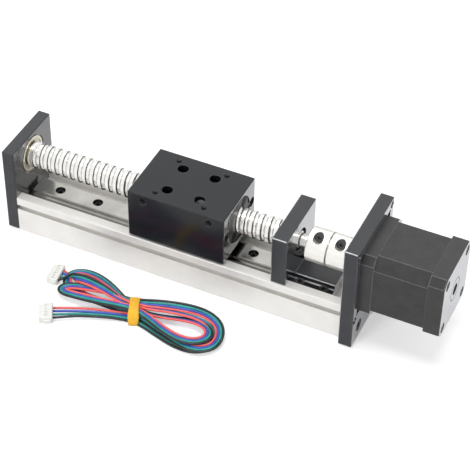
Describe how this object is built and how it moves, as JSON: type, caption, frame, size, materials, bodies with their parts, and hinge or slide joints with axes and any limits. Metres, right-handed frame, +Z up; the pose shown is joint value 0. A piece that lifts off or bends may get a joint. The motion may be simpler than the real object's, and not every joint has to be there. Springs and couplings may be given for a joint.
{
  "type": "ball screw linear module",
  "caption": "Linear actuator: a stepper motor turns a ball screw that drives a black carriage along a guide rail in an aluminium channel base.",
  "frame": {"origin": "middle of the base's underside, halfway along the module's whole length", "axes": "+X along the screw towards the motor, +Z up, away from the surface that the base lies on"},
  "size_m": [0.2678, 0.1103, 0.07],
  "materials": {
    "silver_aluminium": "fine blasted and clear anodised",
    "polished_aluminium": "turned and polished",
    "black_aluminium": "black anodised, satin",
    "rail_steel": "ground",
    "screw_steel": "rolled and bright",
    "bearing_steel": "ground and bright",
    "shield_steel": "pressed sheet",
    "spring_steel": "blued spring steel",
    "black_steel": "black oxide",
    "bright_screws": "zinc plated",
    "motor_cap_black": "black painted casting",
    "stack_black": "black painted laminations",
    "copper": "enamelled copper wire",
    "rotor_steel": "ground laminations",
    "connector_white": "moulded",
    "black_plastic": "moulded",
    "black_rubber": "moulded",
    "lead_insulation": "four coloured wires",
    "tie_orange": "coated wire tie"
  },
  "bodies": {
    "frame": {"base_profile": "silver_aluminium", "bearing_retaining_ring": "spring_steel", "bracket_foot_screws": "black_steel", "fixed_bearing_bracket": "black_aluminium", "fixed_bearing_outer_ring": "bearing_steel", "fixed_bearing_shields": "shield_steel", "idle_bearing_outer_ring": "bearing_steel", "idle_bearing_shields": "shield_steel", "idle_end_plate": "black_aluminium", "idle_end_plate_screws": "black_steel", "linear_rail": "rail_steel", "motor_bearing_outer_rings": "bearing_steel", "motor_case_screws": "bright_screws", "motor_connector": "connector_white", "motor_front_cap": "motor_cap_black", "motor_lead_driver_plug": "connector_white", "motor_lead_hank": "lead_insulation", "motor_lead_motor_plug": "connector_white", "motor_lead_tails": "lead_insulation", "motor_lead_tie": "tie_orange", "motor_mounting_screws": "black_steel", "motor_plate": "black_aluminium", "motor_plate_screws": "black_steel", "motor_preload_washer": "spring_steel", "motor_rear_cap": "motor_cap_black", "motor_stator": "stack_black", "motor_windings": "copper", "rail_screws": "black_steel"},
    "screw": {"ball_screw": "screw_steel", "idle_bearing_inner_ring": "bearing_steel", "fixed_bearing_inner_ring": "bearing_steel", "bearing_lock_nut": "black_steel", "shaft_coupling": "polished_aluminium", "coupling_clamp_screws": "black_steel", "motor_shaft": "bearing_steel", "motor_rotor": "rotor_steel", "motor_bearing_inner_rings": "bearing_steel"},
    "carriage": {"carriage_block": "black_aluminium", "ball_nut": "bearing_steel", "ball_return_deflectors": "black_plastic", "nut_lock_screws": "black_steel", "rail_block_body": "rail_steel", "rail_block_end_caps": "black_plastic", "rail_block_end_seals": "black_rubber", "rail_block_screws": "black_steel"}
  },
  "joints": [
    {"name": "screw_spin", "type": "hinge", "parent": "frame", "child": "screw", "pos_m": [0, 0, 0.0427], "axis": [1, 0, 0], "range_deg": [-1994.5, 5205.7]},
    {"name": "carriage_slide", "type": "slide", "parent": "frame", "child": "carriage", "axis": [1, 0, 0], "range_m": [-0.0723, 0.0277]}
  ],
  "couplings": [
    {"joint": "screw_spin", "follows": "carriage_slide", "rad_per_m": -1256.6}
  ]
}
